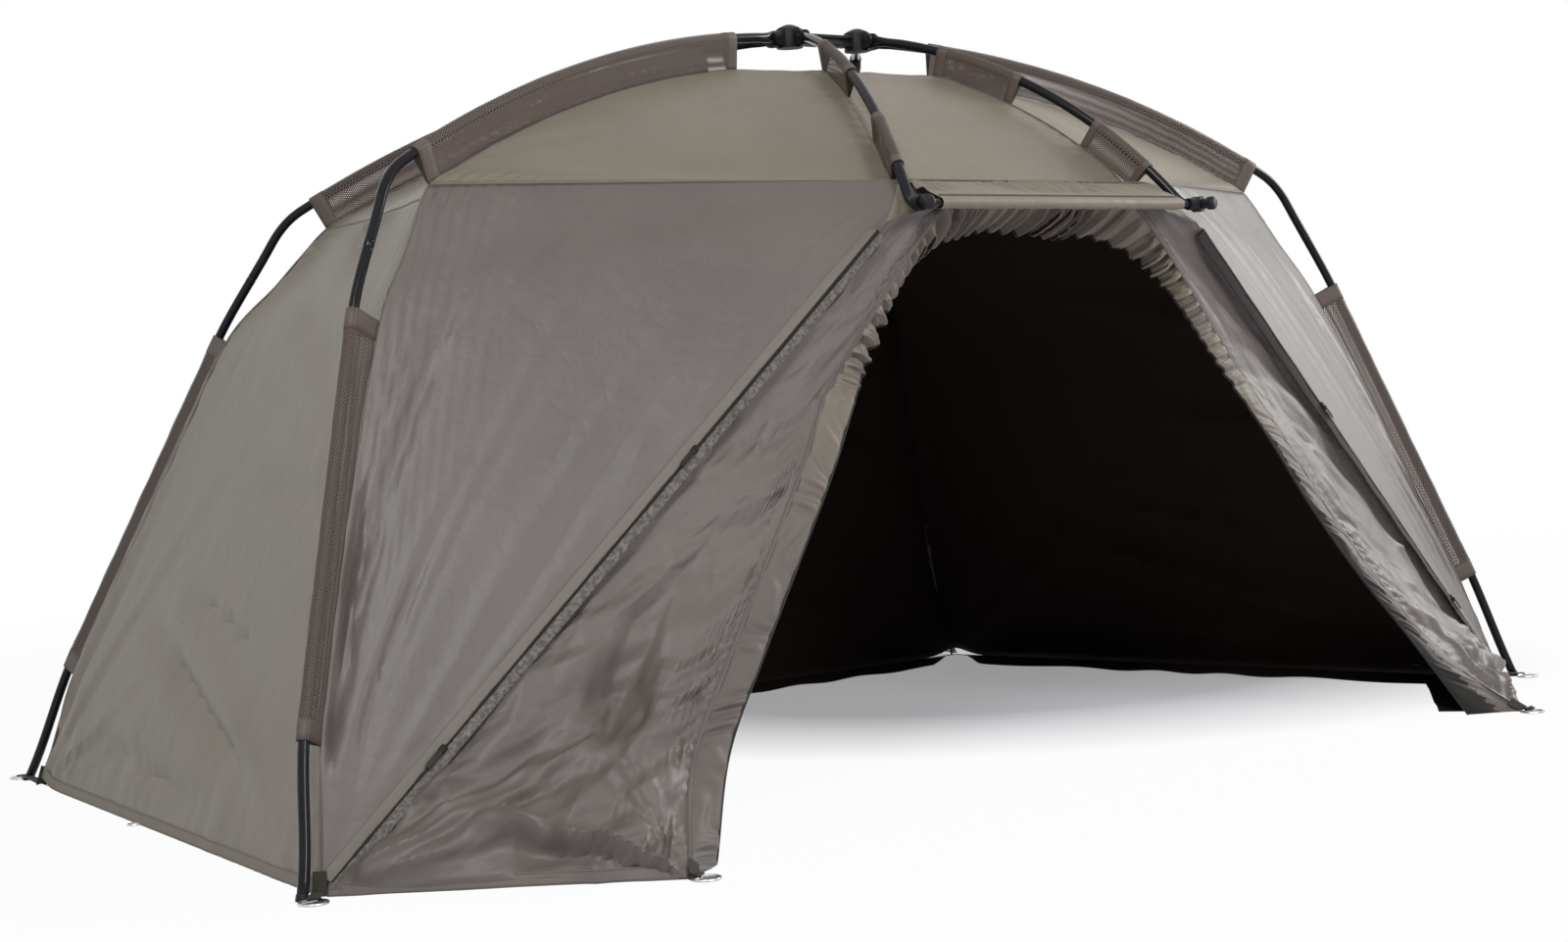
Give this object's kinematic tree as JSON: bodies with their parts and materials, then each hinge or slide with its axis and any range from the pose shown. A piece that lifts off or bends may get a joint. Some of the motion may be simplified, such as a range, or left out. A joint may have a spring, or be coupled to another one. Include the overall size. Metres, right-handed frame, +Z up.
{
  "type": "bivvy tent",
  "caption": "Hinged pole-frame angling shelter with net pole sleeves, plug-in legs and a wide zipped door",
  "frame": {"origin": "on the ground in the middle of the footprint", "axes": "+X across the front to the right leg seen from outside, +Y from the door to the back, +Z up"},
  "size_m": [2.8324, 1.9638, 1.325],
  "materials": {
    "black_pole": "gloss",
    "black_moulding": "satin",
    "steel": "satin",
    "bright_disc": "satin",
    "net": "matte",
    "roof_cloth": "matte",
    "door_cloth": "satin",
    "skirt_cloth": "matte",
    "zip_black": "satin"
  },
  "bodies": {
    "hub_and_canopy": {"hub_bar": "black_moulding", "hub_knuckle_left": "black_moulding", "hub_knuckle_right": "black_moulding", "hinge_pin_front_left": "steel", "hinge_pin_rear_left": "steel", "hinge_pin_brow_left": "steel", "hinge_pin_front_right": "steel", "hinge_pin_rear_right": "steel", "hinge_pin_brow_right": "steel", "roof": "roof_cloth", "wall_left": "roof_cloth", "wall_right": "roof_cloth", "wall_rear": "roof_cloth", "side_panel_left": "door_cloth", "side_panel_right": "door_cloth", "infill_left": "door_cloth", "infill_right": "door_cloth", "door_frill": "door_cloth", "mud_skirt": "skirt_cloth", "zip_tape_left": "zip_black", "zip_tape_right": "zip_black", "peg_disc_front_left": "bright_disc", "peg_disc_rear_left": "bright_disc", "peg_disc_door_left": "bright_disc", "peg_disc_front_right": "bright_disc", "peg_disc_rear_right": "bright_disc", "peg_disc_door_right": "bright_disc", "hem_ring_left": "steel", "hem_ring_right": "steel"},
    "arm_front_left": {"arm_front_left": "black_pole", "sleeve_front_left": "net"},
    "lower_pole_front_left": {"lower_pole_front_left": "black_pole", "foot_front_left": "black_moulding"},
    "arm_front_right": {"arm_front_right": "black_pole", "sleeve_front_right": "net"},
    "lower_pole_front_right": {"lower_pole_front_right": "black_pole", "foot_front_right": "black_moulding"},
    "arm_rear_left": {"arm_rear_left": "black_pole", "sleeve_rear_left": "net"},
    "lower_pole_rear_left": {"lower_pole_rear_left": "black_pole", "foot_rear_left": "black_moulding"},
    "arm_rear_right": {"arm_rear_right": "black_pole", "sleeve_rear_right": "net"},
    "lower_pole_rear_right": {"lower_pole_rear_right": "black_pole", "foot_rear_right": "black_moulding"},
    "brow_hoop": {"brow_pole_left": "black_pole", "sleeve_brow_left": "net", "bar_clamp_left": "black_moulding", "brow_cap_left": "black_moulding", "brow_pole_right": "black_pole", "sleeve_brow_right": "net", "bar_clamp_right": "black_moulding", "brow_cap_right": "black_moulding", "peak_bar": "black_pole", "brow_hem": "roof_cloth"},
    "slider_upper_left": {"zip_slider_upper_left": "zip_black"},
    "slider_lower_left": {"zip_slider_lower_left": "zip_black"},
    "slider_upper_right": {"zip_slider_upper_right": "zip_black"},
    "slider_lower_right": {"zip_slider_lower_right": "zip_black"}
  },
  "joints": [
    {"name": "fold_front_left", "type": "hinge", "parent": "hub_and_canopy", "child": "arm_front_left", "pos_m": [-0.11641, -0.1755, 1.3], "axis": [0.1805, -0.9836, 0], "range_deg": [0, 45], "deforming": ["roof", "wall_left", "wall_right", "wall_rear", "side_panel_left", "side_panel_right", "infill_left", "infill_right", "door_frill", "mud_skirt", "zip_tape_left", "zip_tape_right"]},
    {"name": "plug_front_left", "type": "slide", "parent": "arm_front_left", "child": "lower_pole_front_left", "axis": [-0.3156, -0.2389, -0.9183], "range_m": [0, 0.09]},
    {"name": "fold_front_right", "type": "hinge", "parent": "hub_and_canopy", "child": "arm_front_right", "pos_m": [0.11641, -0.1755, 1.3], "axis": [0.1805, 0.9836, 0], "range_deg": [0, 45]},
    {"name": "plug_front_right", "type": "slide", "parent": "arm_front_right", "child": "lower_pole_front_right", "axis": [0.3156, -0.2389, -0.9183], "range_m": [0, 0.09]},
    {"name": "fold_rear_left", "type": "hinge", "parent": "hub_and_canopy", "child": "arm_rear_left", "pos_m": [-0.10388, -0.1412, 1.3], "axis": [-0.7721, -0.6355, 0], "range_deg": [0, 45]},
    {"name": "plug_rear_left", "type": "slide", "parent": "arm_rear_left", "child": "lower_pole_rear_left", "axis": [-0.3705, 0.2811, -0.8853], "range_m": [0, 0.09]},
    {"name": "fold_rear_right", "type": "hinge", "parent": "hub_and_canopy", "child": "arm_rear_right", "pos_m": [0.10388, -0.1412, 1.3], "axis": [-0.7721, 0.6355, 0], "range_deg": [0, 45]},
    {"name": "plug_rear_right", "type": "slide", "parent": "arm_rear_right", "child": "lower_pole_rear_right", "axis": [0.3705, 0.2811, -0.8853], "range_m": [0, 0.09]},
    {"name": "fold_brow", "type": "hinge", "parent": "hub_and_canopy", "child": "brow_hoop", "pos_m": [0, -0.205, 1.3], "axis": [1, 0, 0], "range_deg": [0, 54]},
    {"name": "zip_upper_left", "type": "slide", "parent": "hub_and_canopy", "child": "slider_upper_left", "axis": [0.7315, -0.0892, 0.6759], "range_m": [-0.4, 0.3]},
    {"name": "zip_lower_left", "type": "slide", "parent": "hub_and_canopy", "child": "slider_lower_left", "axis": [0.7315, -0.0892, 0.6759], "range_m": [-0.13, 0.52]},
    {"name": "zip_upper_right", "type": "slide", "parent": "hub_and_canopy", "child": "slider_upper_right", "axis": [-0.7315, -0.0892, 0.6759], "range_m": [-0.4, 0.3]},
    {"name": "zip_lower_right", "type": "slide", "parent": "hub_and_canopy", "child": "slider_lower_right", "axis": [-0.7315, -0.0892, 0.6759], "range_m": [-0.13, 0.52]}
  ],
  "couplings": [
    {"joint": "fold_front_right", "follows": "fold_front_left", "ratio": 1},
    {"joint": "fold_rear_left", "follows": "fold_front_left", "ratio": 1},
    {"joint": "fold_rear_right", "follows": "fold_front_left", "ratio": 1},
    {"joint": "fold_brow", "follows": "fold_front_left", "ratio": 1.2}
  ]
}
